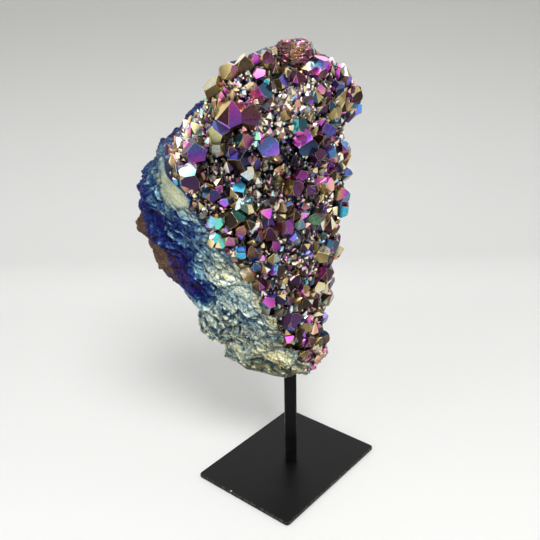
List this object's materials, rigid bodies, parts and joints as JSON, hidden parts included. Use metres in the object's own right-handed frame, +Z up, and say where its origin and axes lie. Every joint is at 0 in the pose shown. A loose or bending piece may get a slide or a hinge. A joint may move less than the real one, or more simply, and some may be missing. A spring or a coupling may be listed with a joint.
{
  "type": "aura amethyst cluster on stand",
  "caption": "Tall slab of amethyst crystals with a rainbow metallic coating, carried upright by a black square post on a flat rectangular base plate.",
  "frame": {"origin": "centre of the base plate's underside, on the surface that the stand rests on", "axes": "+Z up; +X along the base plate's long side; +Y along its short side, away from the side that the crystals face"},
  "size_m": [0.1491, 0.1371, 0.3323],
  "materials": {
    "aura_quartz": "quartz points and rock with a mirror-bright, rainbow coloured metal oxide coating",
    "black_paint": "satin black painted steel"
  },
  "bodies": {
    "root": {"amethyst_cluster": "aura_quartz", "post": "black_paint", "base_plate": "black_paint"}
  },
  "joints": []
}
